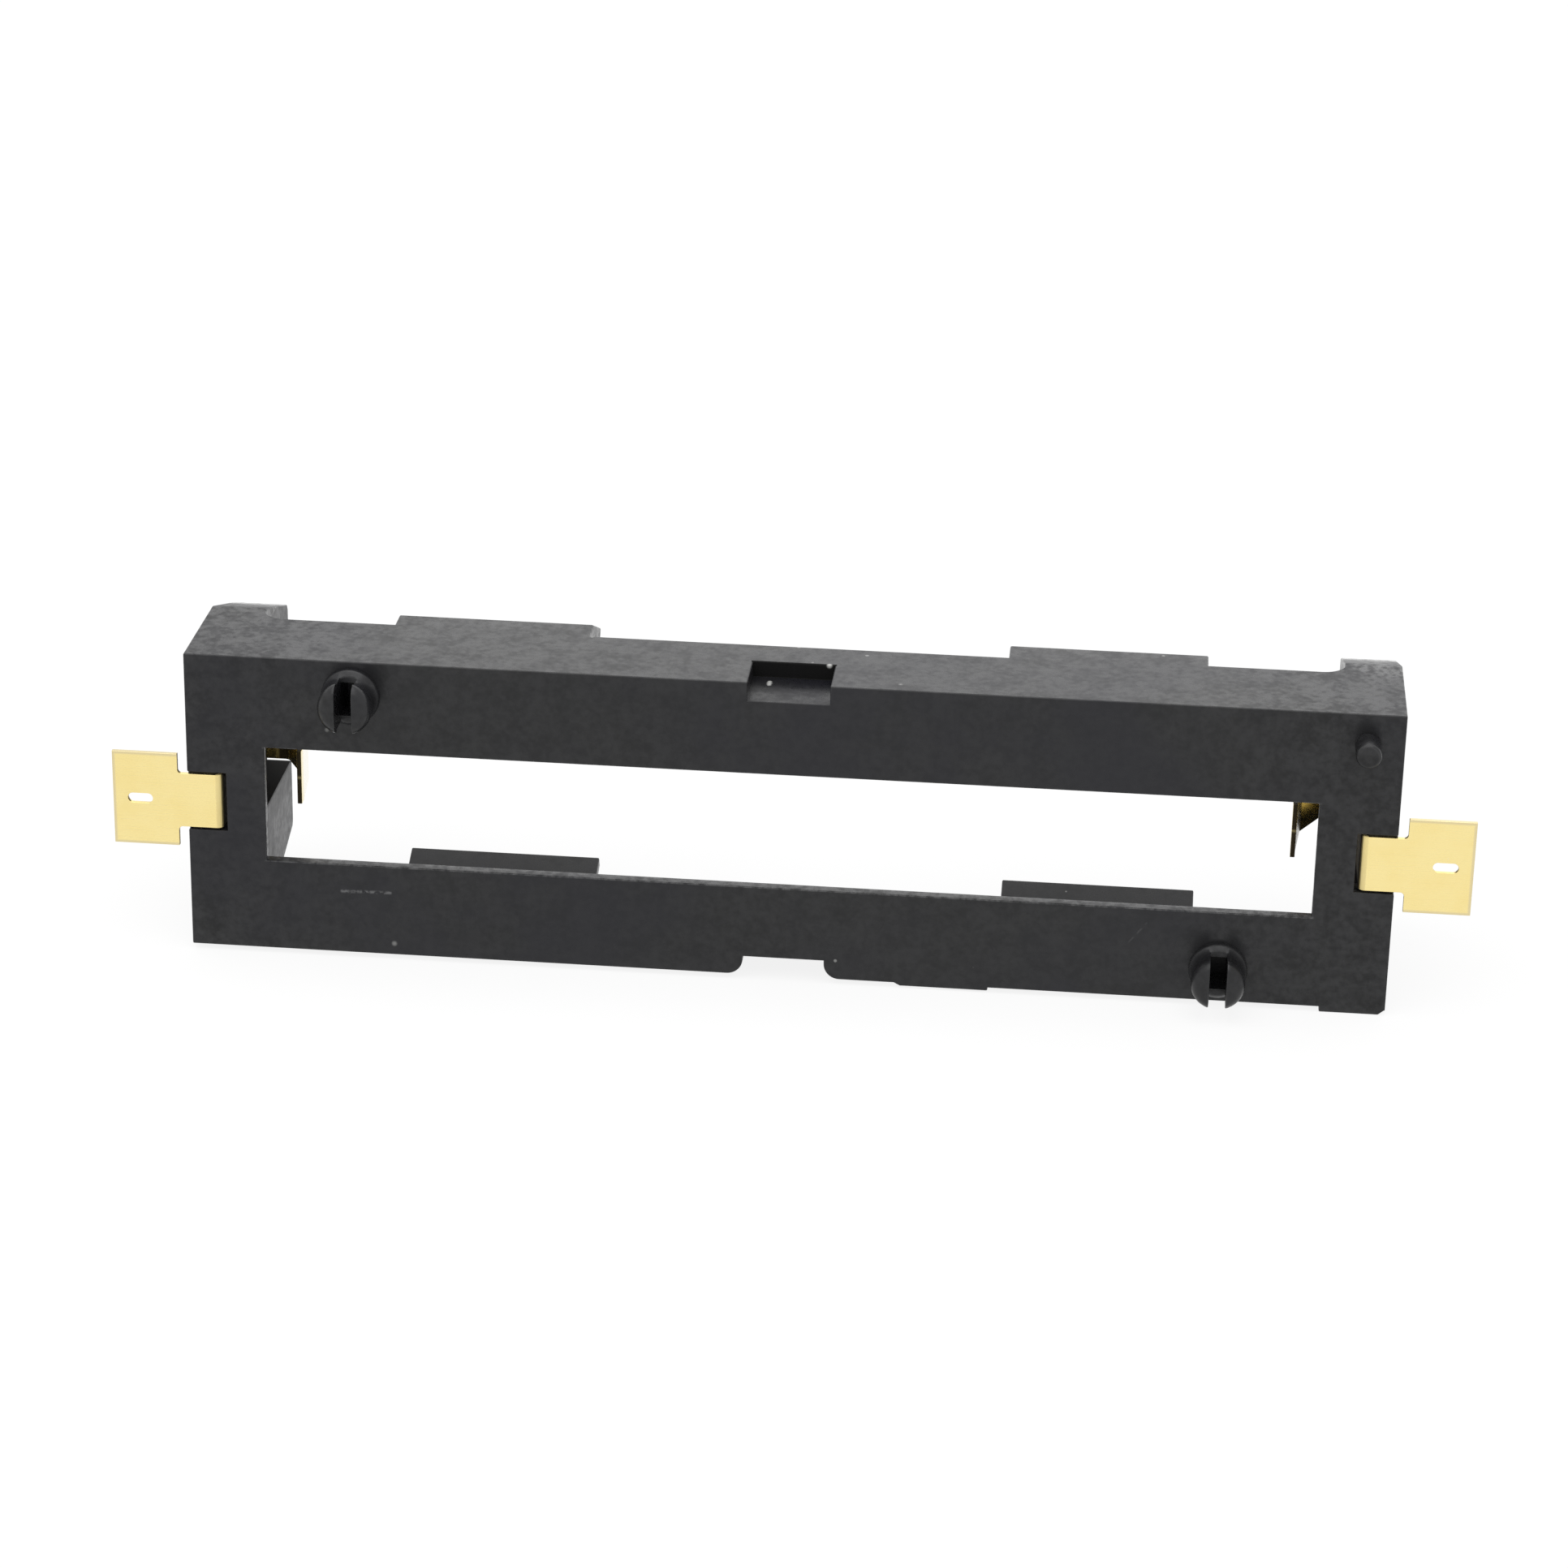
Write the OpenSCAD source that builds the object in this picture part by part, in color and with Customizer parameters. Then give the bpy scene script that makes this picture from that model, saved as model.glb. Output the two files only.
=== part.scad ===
// Surface-mount holder for one round cell.
// The underside is the plane z = 0, the cell lies along X and +Z points up off the board.

/* [Cell] */
// Diameter of the round cell
cell_d = 18.3; // [14:0.1:22]
// Length of the round cell
cell_l = 65; // [50:0.5:75]
// Gap between the cell and its cradle
cell_gap = 0.1; // [0.05:0.05:0.3]
// Height of the cell's lowest line over the board
cell_lift = 0.05; // [0:0.05:0.5]
// Room for a contact leaf between the cell and an end block
leaf_room = 2.15; // [1.5:0.05:3]

/* [Housing] */
// Thickness of the side walls at the height of the cell's axis
wall_t = 0.75; // [0.6:0.05:1.5]
// Thickness of the floor at the ends of the bay
floor_t = 0.6; // [0.5:0.1:1.2]
// Drop from the cell's axis to the top of the side walls between the clips
wall_drop = 2.45; // [1.5:0.05:3.5]
// Drop from the cell's axis to the top of the side walls outside the clips
end_wall_drop = 2.1; // [1.5:0.1:3.5]
// Drop from the cell's axis to the line where clips and end blocks start to lean inwards
lean_drop = 0.4; // [0.1:0.1:1]
// Radius of the sweep from a low side wall up to an end block
ramp_r = 1.5; // [0.5:0.1:2]

/* [End blocks] */
// Rise of the end blocks over the cell's axis
end_rise = 6.2; // [4:0.1:7]
// Thickness of the end blocks along the cell
end_t = 3.6; // [3.2:0.1:4.5]
// Lean of the end blocks' sides from upright
end_lean = 17.8; // [5:0.1:25]
// Edge break along the top of the end blocks
end_break = 0.3; // [0.1:0.1:0.6]

/* [Floor window] */
// Ledge between the window and an end block
window_ledge = 1.4; // [1:0.1:4]
// Width of the window in the floor
window_w = 7.75; // [5:0.25:9]

/* [Clips] */
// Distance of each clip's middle from the middle of the holder
clip_x = 19.7; // [14:0.1:22]
// Length of each clip
clip_l = 12.6; // [8:0.1:16]
// Thickness of each clip
clip_t = 0.75; // [0.5:0.05:0.9]
// Lean of each clip from upright
clip_lean = 23; // [10:1:30]
// Rise of the clips' tips over the cell's axis
clip_rise = 3.3; // [2:0.1:5]

/* [Side notches] */
// Width of the notch in the middle of each long side
notch_w = 5.2; // [3:0.1:8]
// Depth of the notches into the sides, at their top
notch_d = 1; // [0.9:0.05:1.5]
// How much deeper the notches are at the board
notch_draft = 0.25; // [0.05:0.05:0.4]
// Height of the notches over the board
notch_h = 3.8; // [2:0.1:4.5]
// Radius of the rounded mouth of the notch on the +Y side
notch_r = 1; // [0.3:0.1:1.1]

/* [Side pads] */
// How far the middle pad stands out of the +Y side
gate_pad_t = 0.2; // [0.1:0.05:0.4]
// How far the corner pad stands out of the +Y side
corner_pad_t = 0.35; // [0.1:0.05:0.5]
// Height of the pads over the board
pad_h = 4; // [2:0.5:6]
// Start of the middle pad along X
gate_pad_x = 7.1; // [5:0.1:12]
// Length of the middle pad
gate_pad_l = 6; // [3:0.1:10]
// Length of the pad at the +X corner
corner_pad_l = 4.1; // [2:0.1:6]
// Distance of the corner pad from the end of the housing
corner_pad_inset = 0.05; // [0.05:0.05:1]

/* [Split pegs] */
// Distance of the split pegs from the ends of the housing
peg_end_in = 10.65; // [6:0.05:16]
// Distance of the split pegs from the long sides of the housing
peg_side_in = 2.25; // [2.1:0.05:3]
// Radius of the collar at a split peg's root
peg_collar_r = 1.85; // [1.8:0.05:2]
// Length of the collar's straight side
peg_collar_l = 0.4; // [0.2:0.05:0.5]
// Length of the slope from the collar to the shank
peg_slope_l = 0.3; // [0.2:0.05:0.4]
// Radius of the split shank
peg_r = 1.55; // [1.4:0.05:1.55]
// Length of collar and shank together
peg_shank_l = 2.05; // [1.8:0.05:2.15]
// How far the barb stands out of the shank
peg_barb = 0.17; // [0.16:0.01:0.2]
// Length of the round nose under the shank
peg_nose_l = 0.95; // [0.95:0.05:1.5]
// Rounding of the peg's tip
peg_nose_r = 0.75; // [0.3:0.05:0.75]
// Width of the split
peg_split_w = 1.05; // [0.6:0.05:1.1]
// Length of the slot that goes on from the split into the housing
peg_core_l = 2.2; // [1.6:0.1:2.4]
// Thickness left between that slot and the bay
peg_core_t = 0.85; // [0.6:0.05:1.5]

/* [Key peg] */
// Distance of the key peg from the end of the housing
key_end_in = 2.3; // [1.5:0.05:4]
// Distance of the key peg from the -Y side of the housing
key_side_in = 2; // [1.3:0.05:3]
// Radius of the key peg
key_r = 0.8; // [0.6:0.05:1.2]
// Length of the key peg
key_l = 2.15; // [1.8:0.05:3]
// Edge break at the key peg's tip
key_break = 0.15; // [0.1:0.05:0.4]

/* [Contacts] */
// Thickness of the contact sheet
sheet_t = 0.3; // [0.2:0.05:0.4]
// Width of the contact strip
strip_w = 3.65; // [2.5:0.05:4.5]
// Inner radius of the bend at the foot, between neck and upright strip
foot_r = 0.15; // [0.1:0.05:0.4]
// Inner radius of the bends above
bend_r = 0.4; // [0.3:0.05:0.5]
// Distance of the upright strip's middle from the end of the housing
riser_in = 2.1; // [1.9:0.05:2.3]
// Rise of the contacts' tops over the cell's axis
contact_rise = 3.2; // [2:0.1:5]
// Length of the flat span at the top of the contacts
top_span = 1.2; // [0.6:0.1:1.6]
// Turn from the flat span down to the leaf
leaf_turn = 62; // [50:1:75]
// Length of the leaf's sloping part
leaf_slope_l = 3.2; // [2:0.1:3.6]
// Turn between the leaf's sloping part and its face
face_turn = 22; // [5:1:27]
// Length of the leaf's face, which presses on the cell
leaf_face_l = 3.6; // [3:0.1:4.6]
// Turn of the curled tip away from the cell
tip_turn = 6; // [2:1:30]
// Length of the curled tip
tip_l = 0.6; // [0.3:0.1:1]

/* [Solder tabs] */
// Width of the solder tabs
tab_w = 6.3; // [5:0.1:8]
// Length of the solder tabs
tab_l = 4.2; // [3:0.1:6]
// Gap between the end of the housing and the wide tab
tab_gap = 0.62; // [0.3:0.01:1]
// Length of the slot in each tab
tab_slot_l = 1.6; // [1:0.1:2.5]
// Width of the slot in each tab
tab_slot_w = 0.65; // [0.4:0.05:1]
// Distance of the slot's middle from the tab's outer end
tab_slot_in = 1.75; // [1.5:0.05:2.5]
// Radius in the corners between neck and tab
tab_fillet_r = 0.25; // [0.1:0.05:0.4]

/* [Contact seats] */
// Width of the pocket in each end block
pocket_w = 6.5; // [5:0.1:8]
// Height of the pocket's floor
pocket_floor_h = 1.6; // [1:0.1:3]
// Gap on each side of the strip in its groove
groove_gap = 0.15; // [0.05:0.05:0.3]
// Gap in front of the strip where it passes up through the floor
slit_gap = 0.25; // [0.1:0.05:0.4]

/* [Hidden] */
$fn = 64;

housing_colour = [0.13, 0.13, 0.14];
gold_colour = [0.90, 0.76, 0.40];

// How far a cut runs past the face that it opens
over = 1;

axis_h = cell_d / 2 + cell_lift;
bay_r = cell_d / 2 + cell_gap;
bay_l = cell_l + 2 * leaf_room;
half_l = bay_l / 2 + end_t;
half_w = bay_r + wall_t;
body_l = 2 * half_l;
body_w = 2 * half_w;
wall_h = axis_h - wall_drop;
end_wall_h = axis_h - end_wall_drop;
lean_h = axis_h - lean_drop;
end_h = axis_h + end_rise;
clip_h = axis_h + clip_rise;
contact_h = axis_h + contact_rise;
pocket_back = riser_in - sheet_t / 2;
slit_w = sheet_t + slit_gap;
groove_w = strip_w + 2 * groove_gap;
foot_mid_r = foot_r + sheet_t / 2;
bend_mid_r = bend_r + sheet_t / 2;
// Flats that each bend is drawn with
bend_steps = 8;

// A profile drawn in Y and Z, drawn out along X and centred on x = 0.
module along_x(length) {
    rotate([90, 0, 90])
        linear_extrude(length, center = true)
            children();
}

// A profile drawn in X and Z, drawn out along Y and centred on y = 0.
module along_y(length) {
    rotate([90, 0, 0])
        linear_extrude(length, center = true)
            children();
}

// The child and its mirror image at the other end of the holder.
module at_both_ends() {
    children();
    mirror([1, 0, 0])
        children();
}

// A box centred in X and Y that stands on the height z.
module box_on(size, z) {
    translate([-size.x / 2, -size.y / 2, z])
        cube(size);
}

// The low frame that the end blocks, clips and pegs stand on.
module frame_block() {
    box_on([body_l, body_w, wall_h], 0);
}

// Outer stretch of the frame at +X, from the middle of the clips to the end.
module end_stretch() {
    translate([clip_x, -half_w, 0])
        cube([half_l - clip_x, body_w, end_wall_h]);
}

// End block at +X: upright to lean_h, then leaning in to a flat top with a broken edge.
module end_block() {
    top_half_w = half_w - (end_h - lean_h) * tan(end_lean);
    break_drop = end_break / tan(45 + end_lean / 2);
    translate([half_l - end_t / 2, 0, 0])
        along_x(end_t)
            polygon([
                [-half_w, 0],
                [half_w, 0],
                [half_w, lean_h],
                [top_half_w + break_drop * tan(end_lean), end_h - break_drop],
                [top_half_w - end_break, end_h],
                [-top_half_w + end_break, end_h],
                [-top_half_w - break_drop * tan(end_lean), end_h - break_drop],
                [-half_w, lean_h]
            ]);
}

// Hollow sweep from the low walls up to the end block at +X.
module end_ramp() {
    foot_x = half_l - end_t - ramp_r;
    along_y(body_w)
        difference() {
            translate([foot_x, 0])
                square([ramp_r, lean_h]);
            translate([foot_x, end_wall_h + ramp_r])
                circle(ramp_r);
            translate([foot_x, end_wall_h + ramp_r])
                square([ramp_r + over, lean_h]);
        }
}

// Room for the cell: a round cradle that is open at the top.
module bay_space() {
    intersection() {
        box_on([bay_l, 2 * bay_r, end_h + over], floor_t);
        union() {
            translate([0, 0, axis_h])
                rotate([0, 90, 0])
                    cylinder(r = bay_r, h = bay_l, center = true);
            box_on([bay_l, 2 * bay_r, end_h + over], axis_h);
        }
    }
}

// Opening in the floor between the two long rails.
module window_space() {
    box_on([bay_l - 2 * window_ledge, window_w, end_h], -over);
}

// Pocket, slit and groove that take the contact at +X.
module contact_seat() {
    pocket_depth = end_t - pocket_back;
    translate([half_l - end_t - over, -pocket_w / 2, pocket_floor_h])
        cube([pocket_depth + over, pocket_w, end_h]);
    translate([half_l - pocket_back - slit_w, -groove_w / 2, -over])
        cube([slit_w, groove_w, pocket_floor_h + 2 * over]);
    translate([half_l - pocket_back - slit_w, -groove_w / 2, -over])
        cube([slit_w + pocket_back + over, groove_w, over + sheet_t]);
    // Bevel that clears the inside of the strip's bend
    translate([half_l - pocket_back, 0, sheet_t])
        along_y(groove_w)
            polygon([[-slit_gap, -sheet_t], [foot_r, 0], [0, foot_r], [-slit_gap, foot_r]]);
}

// Square notch in the middle of the -Y side, deeper at the board than at its top.
module square_notch() {
    along_x(notch_w)
        polygon([
            [-half_w - over, -over],
            [-half_w + notch_d + notch_draft, -over],
            [-half_w + notch_d + notch_draft, 0],
            [-half_w + notch_d, notch_h],
            [-half_w - over, notch_h]
        ]);
}

// Notch in the middle of the +Y side, which has a rounded mouth as well.
module round_mouth_notch() {
    mouth_w = notch_w + 2 * notch_r;
    mirror([0, 1, 0])
        square_notch();
    translate([0, half_w, -over])
        linear_extrude(notch_h + over)
            difference() {
                translate([-mouth_w / 2, -notch_r])
                    square([mouth_w, notch_r + over]);
                for (side = [-1, 1])
                    translate([side * mouth_w / 2, -notch_r])
                        circle(notch_r);
            }
}

// Leaning clip at (+clip_x, +Y): a bent plate of even thickness.
module clip() {
    tip_y = half_w - (clip_h - lean_h) * tan(clip_lean);
    root_z = wall_h - clip_t;
    translate([clip_x, 0, 0])
        along_x(clip_l)
            polygon([
                [half_w, root_z],
                [half_w, lean_h],
                [tip_y, clip_h],
                [tip_y - clip_t * cos(clip_lean), clip_h - clip_t * sin(clip_lean)],
                [half_w - clip_t, lean_h - clip_t * tan(clip_lean / 2)],
                [half_w - clip_t, root_z]
            ]);
}

// Low pads on the +Y side: one near the middle with a ramped end, one at the +X corner.
module side_pads() {
    linear_extrude(pad_h)
        translate([0, half_w])
            polygon([
                [gate_pad_x, -over],
                [gate_pad_x + gate_pad_l, -over],
                [gate_pad_x + gate_pad_l, gate_pad_t],
                [gate_pad_x + 2 * gate_pad_t, gate_pad_t],
                [gate_pad_x, 0]
            ]);
    corner_end = half_l - corner_pad_inset;
    linear_extrude(pad_h)
        translate([0, half_w])
            polygon([
                [corner_end - corner_pad_l, -over],
                [corner_end, -over],
                [corner_end, 0],
                [corner_end - corner_pad_t, corner_pad_t],
                [corner_end - corner_pad_l, corner_pad_t]
            ]);
}

// Split peg that snaps into the board, hanging from z = 0: a collar and two halves with a barb.
module split_peg() {
    barb_r = peg_r + peg_barb;
    peg_l = peg_shank_l + peg_nose_l;
    split_z = peg_collar_l + peg_slope_l;
    mirror([0, 0, 1])
        difference() {
            rotate_extrude()
                polygon(concat(
                    [
                        [0, -over],
                        [peg_collar_r, -over],
                        [peg_collar_r, peg_collar_l],
                        [peg_r, split_z],
                        [peg_r, peg_shank_l],
                        [barb_r, peg_shank_l + peg_barb]
                    ],
                    [for (a = [0:15:90])
                        [barb_r - peg_nose_r * (1 - cos(a)), peg_l - peg_nose_r * (1 - sin(a))]],
                    [[0, peg_l]]
                ));
            translate([-peg_split_w / 2, -barb_r - over, split_z])
                cube([peg_split_w, 2 * (barb_r + over), peg_l]);
        }
}

// Slot that goes on from a peg's split up into the housing, as far as the bay allows.
module peg_core() {
    core_bottom = -peg_collar_l - peg_slope_l - over;
    inner_y = half_w - peg_side_in - peg_core_l / 2;
    core_top = axis_h - sqrt(bay_r * bay_r - inner_y * inner_y) - peg_core_t;
    box_on([peg_split_w, peg_core_l, core_top - core_bottom], core_bottom);
}

// The child at the place of each split peg.
module at_split_pegs() {
    for (side = [-1, 1])
        translate([side * (half_l - peg_end_in), side * (half_w - peg_side_in), 0])
            children();
}

// Small plain peg that keys the holder to one way round on the board.
module key_peg() {
    mirror([0, 0, 1])
        rotate_extrude()
            polygon([
                [0, -over / 2],
                [key_r, -over / 2],
                [key_r, key_l - key_break],
                [key_r - key_break, key_l],
                [0, key_l]
            ]);
}

module housing() {
    color(housing_colour) {
        difference() {
            union() {
                frame_block();
                at_both_ends() {
                    end_stretch();
                    end_block();
                    end_ramp();
                }
                side_pads();
                at_split_pegs()
                    split_peg();
            }
            bay_space();
            window_space();
            at_both_ends()
                contact_seat();
            square_notch();
            round_mouth_notch();
            at_split_pegs()
                peg_core();
        }
        at_both_ends() {
            clip();
            mirror([0, 1, 0])
                clip();
        }
        translate([half_l - key_end_in, key_side_in - half_w, 0])
            key_peg();
    }
}

// The folded strip is a list of steps: a straight run, the turn that follows it, up being positive,
// and the radius of that turn on the strip's middle line.
// Unit vector across the strip, on its left side, at a heading.
function across(heading) = [-sin(heading), cos(heading)];

// Heading of the straight run i.
function run_heading(steps, i) = i == 0 ? 0 : run_heading(steps, i - 1) + steps[i - 1][1];

// Start and end of the straight run i on the strip's middle line.
function run_start(steps, i) = i == 0 ? [0, 0] : bend_point(steps, i - 1, 1, 0);
function run_end(steps, i) =
    let (heading = run_heading(steps, i))
    run_start(steps, i) + steps[i][0] * [cos(heading), sin(heading)];

// Point at a share of the bend that follows run i, on the left (1), middle (0) or right (-1) line.
function bend_point(steps, i, share, side) =
    let (heading = run_heading(steps, i))
    let (up = sign(steps[i][1]))
    let (mid_r = steps[i][2])
    let (centre = run_end(steps, i) + up * mid_r * across(heading))
    centre - up * (mid_r - up * side * sheet_t / 2) * across(heading + share * steps[i][1]);

// One long edge of the strip seen from the side.
function strip_edge(steps, side) =
    let (last = len(steps) - 1)
    concat(
        [side * sheet_t / 2 * across(0)],
        [for (i = [0:last - 1]) for (k = [0:bend_steps]) bend_point(steps, i, k / bend_steps, side)],
        [run_end(steps, last) + side * sheet_t / 2 * across(run_heading(steps, last))]
    );

// The strip's side outline drawn out to its width.
module folded_strip(steps) {
    left = strip_edge(steps, 1);
    right = strip_edge(steps, -1);
    along_y(strip_w)
        polygon(concat(left, [for (i = [len(right) - 1:-1:0]) right[i]]));
}

// Flat T-shaped tab outside the -X end, with its slot and the rounded corners at the neck.
module solder_tab() {
    tab_in = -half_l - tab_gap;
    linear_extrude(sheet_t)
        difference() {
            union() {
                translate([tab_in - tab_l, -tab_w / 2])
                    square([tab_l, tab_w]);
                translate([tab_in - tab_fillet_r, -strip_w / 2 - tab_fillet_r])
                    square([2 * tab_fillet_r, strip_w + 2 * tab_fillet_r]);
            }
            for (side = [-1, 1])
                translate([tab_in + tab_fillet_r, side * (strip_w / 2 + tab_fillet_r)])
                    circle(tab_fillet_r);
            translate([tab_in - tab_l + tab_slot_in, 0])
                rounded_slot(tab_slot_l, tab_slot_w);
        }
}

// A slot with round ends along X.
module rounded_slot(length, width) {
    straight = length - width;
    square([straight, width], center = true);
    for (side = [-1, 1])
        translate([side * straight / 2, 0])
            circle(d = width);
}

// The contact at the -X end: tab, neck, upright strip, top span and sprung leaf from one sheet.
module contact() {
    solder_tab();
    translate([-half_l - tab_gap, 0, sheet_t / 2])
        folded_strip([
            [tab_gap + riser_in - foot_mid_r, 90, foot_mid_r],
            [contact_h - sheet_t - foot_mid_r - bend_mid_r, -90, bend_mid_r],
            [top_span, -leaf_turn, bend_mid_r],
            [leaf_slope_l, -face_turn, bend_mid_r],
            [leaf_face_l, -tip_turn, bend_mid_r],
            [tip_l, 0, 0]
        ]);
}

module positive_contact() {
    color(gold_colour)
        contact();
}

module negative_contact() {
    color(gold_colour)
        mirror([1, 0, 0])
            contact();
}

housing();
positive_contact();
negative_contact();
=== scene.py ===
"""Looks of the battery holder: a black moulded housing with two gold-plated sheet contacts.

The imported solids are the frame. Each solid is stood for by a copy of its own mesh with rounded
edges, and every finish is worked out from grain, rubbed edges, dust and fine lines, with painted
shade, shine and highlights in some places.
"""

import logging
import math
from collections.abc import Iterable
from dataclasses import dataclass, field
from enum import Enum
from typing import ClassVar

import bmesh
import bpy
from mathutils import Matrix, Vector


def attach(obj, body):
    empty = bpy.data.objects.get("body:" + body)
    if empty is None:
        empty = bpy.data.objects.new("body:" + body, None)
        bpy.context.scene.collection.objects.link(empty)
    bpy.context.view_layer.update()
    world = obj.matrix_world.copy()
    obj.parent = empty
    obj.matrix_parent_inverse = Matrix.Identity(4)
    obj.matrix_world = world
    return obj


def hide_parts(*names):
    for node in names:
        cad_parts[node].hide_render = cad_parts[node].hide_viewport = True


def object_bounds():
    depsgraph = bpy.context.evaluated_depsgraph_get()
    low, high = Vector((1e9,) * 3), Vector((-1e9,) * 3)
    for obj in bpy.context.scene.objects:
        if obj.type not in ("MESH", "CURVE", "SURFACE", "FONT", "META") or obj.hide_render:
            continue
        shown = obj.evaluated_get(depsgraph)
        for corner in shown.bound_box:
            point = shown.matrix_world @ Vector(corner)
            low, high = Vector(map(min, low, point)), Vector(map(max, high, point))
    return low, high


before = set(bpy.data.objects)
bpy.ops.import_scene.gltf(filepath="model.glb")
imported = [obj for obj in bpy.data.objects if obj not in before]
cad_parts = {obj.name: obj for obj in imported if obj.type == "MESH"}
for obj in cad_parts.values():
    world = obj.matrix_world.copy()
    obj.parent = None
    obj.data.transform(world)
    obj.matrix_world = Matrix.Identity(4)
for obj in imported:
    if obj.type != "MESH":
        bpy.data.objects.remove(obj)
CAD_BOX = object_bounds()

LOG = logging.getLogger("battery_holder")
MM = 0.001
BODY = "root"
EDGE_RUB = "edge_rub"

Colour = tuple[float, float, float]
Point = tuple[float, float, float]
Source = bpy.types.NodeSocket | float | Colour
Span = tuple[Source, Source]
Tint = tuple[Source, Colour]
Given = bpy.types.NodeOutputs
Results = dict[str, bpy.types.NodeSocket]

BLACK: Colour = (0.0, 0.0, 0.0)
MID_GREY: Colour = (0.5, 0.5, 0.5)
WHITE: Colour = (1.0, 1.0, 1.0)
ORIGIN: Point = (0.0, 0.0, 0.0)
RISING: Span = (0.0, 1.0)
FALLING: Span = (1.0, 0.0)


class Slot(Enum):
    """The record's material slots."""

    BLACK_PLASTIC = "black_plastic"
    GOLD_PLATE = "gold_plate"


class End(Enum):
    """The two ends of the holder, by the contact that stands there."""

    POSITIVE = "positive_contact"
    NEGATIVE = "negative_contact"


class NodeSheet:
    """Adds nodes to one shader tree and links them."""

    # Places of the colour sockets of a Mix node and of the factor of a Vector Math node.
    MIX_SHARE, MIX_FIRST, MIX_SECOND, MIX_RESULT = 0, 6, 7, 2
    VECTOR_SCALE = 3

    def __init__(self, tree: bpy.types.NodeTree) -> None:
        """Start on a tree."""
        self.tree = tree

    def add(self, kind: str, **settings: object) -> bpy.types.Node:
        """Add one node.

        Args:
            kind: the node's type name.
            settings: properties to set on it.

        Returns:
            The new node.
        """
        node = self.tree.nodes.new(kind)
        for name, value in settings.items():
            setattr(node, name, value)
        return node

    def feed(self, socket: bpy.types.NodeSocket, source: Source) -> None:
        """Link an output to a socket, or set the socket's own value.

        Args:
            socket: the input that is fed.
            source: an output socket, a number, a colour or a point.
        """
        if isinstance(source, bpy.types.NodeSocket):
            self.tree.links.new(source, socket)
        elif socket.type == "RGBA" and len(source) == 3:
            socket.default_value = (*source, 1.0)
        else:
            socket.default_value = source

    def math(
        self, operation: str, first: Source, second: Source = 0.0, clamp: bool = False
    ) -> bpy.types.NodeSocket:
        """Work out a number from two others.

        Args:
            operation: the node's operation, such as SUBTRACT.
            first: first number.
            second: second number.
            clamp: keep the result between 0 and 1.

        Returns:
            The result's socket.
        """
        node = self.add("ShaderNodeMath", operation=operation, use_clamp=clamp)
        self.feed(node.inputs[0], first)
        self.feed(node.inputs[1], second)
        return node.outputs[0]

    def times(self, first: Source, second: Source) -> bpy.types.NodeSocket:
        """Give the product of two numbers."""
        return self.math("MULTIPLY", first, second)

    def most(self, first: Source, second: Source) -> bpy.types.NodeSocket:
        """Give the larger of two numbers."""
        return self.math("MAXIMUM", first, second)

    def vector(
        self, operation: str, first: Source, second: Source = ORIGIN, scale: Source = 1.0
    ) -> bpy.types.Node:
        """Add a vector sum, product, distance or the like.

        Args:
            operation: the node's operation, such as SUBTRACT.
            first: first vector.
            second: second vector, for the operations that take two.
            scale: factor, for the operation SCALE.

        Returns:
            The node, whose outputs are Vector and Value.
        """
        node = self.add("ShaderNodeVectorMath", operation=operation)
        self.feed(node.inputs[0], first)
        self.feed(node.inputs[1], second)
        self.feed(node.inputs[self.VECTOR_SCALE], scale)
        return node

    def blend(self, share: Source, first: Source, second: Source) -> bpy.types.NodeSocket:
        """Mix two colours.

        Args:
            share: share of the second colour, 0 to 1.
            first: first colour.
            second: second colour.

        Returns:
            The mixed colour's socket.
        """
        node = self.add("ShaderNodeMix", data_type="RGBA")
        self.feed(node.inputs[self.MIX_SHARE], share)
        self.feed(node.inputs[self.MIX_FIRST], first)
        self.feed(node.inputs[self.MIX_SECOND], second)
        return node.outputs[self.MIX_RESULT]

    def layer(self, base: Source, tints: Iterable[Tint]) -> Source:
        """Lay tints over a colour, one after the other.

        Args:
            base: the lowest colour.
            tints: share and colour of each layer, from the lowest up.

        Returns:
            The colour on top.
        """
        colour = base
        for share, tint in tints:
            colour = self.blend(share, colour, tint)
        return colour

    def ramp(self, value: Source, span: Span, result: Span = RISING) -> bpy.types.NodeSocket:
        """Turn a range of a value smoothly into another range.

        Args:
            value: the value to turn.
            span: low and high end of the value.
            result: result at and below the low end, and at and above the high end.

        Returns:
            The result's socket.
        """
        node = self.add("ShaderNodeMapRange", interpolation_type="SMOOTHSTEP")
        names = ("Value", "From Min", "From Max", "To Min", "To Max")
        for name, source in zip(names, (value, *span, *result)):
            self.feed(node.inputs[name], source)
        return node.outputs["Result"]

    def noise(
        self, place: Source, scale: Source, layers: float = 2.0, weight: float = 0.5
    ) -> bpy.types.NodeSocket:
        """Add a cloud of noise.

        Args:
            place: coordinates in metres.
            scale: turns per metre.
            layers: number of finer layers.
            weight: weight of the finer layers.

        Returns:
            The noise value's socket, about 0 to 1.
        """
        node = self.add("ShaderNodeTexNoise", noise_dimensions="3D")
        self.feed(node.inputs["Vector"], place)
        self.feed(node.inputs["Scale"], scale)
        self.feed(node.inputs["Detail"], layers)
        self.feed(node.inputs["Roughness"], weight)
        return node.outputs["Fac"]

    def place(self) -> bpy.types.NodeSocket:
        """Give the surface point in the holder's own frame, in metres."""
        return self.add("ShaderNodeTexCoord").outputs["Object"]

    def facing(self) -> bpy.types.NodeSocket:
        """Give how far a material's surface turns away from the view, 0 to 1."""
        return self.add("ShaderNodeLayerWeight").outputs["Facing"]


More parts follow.
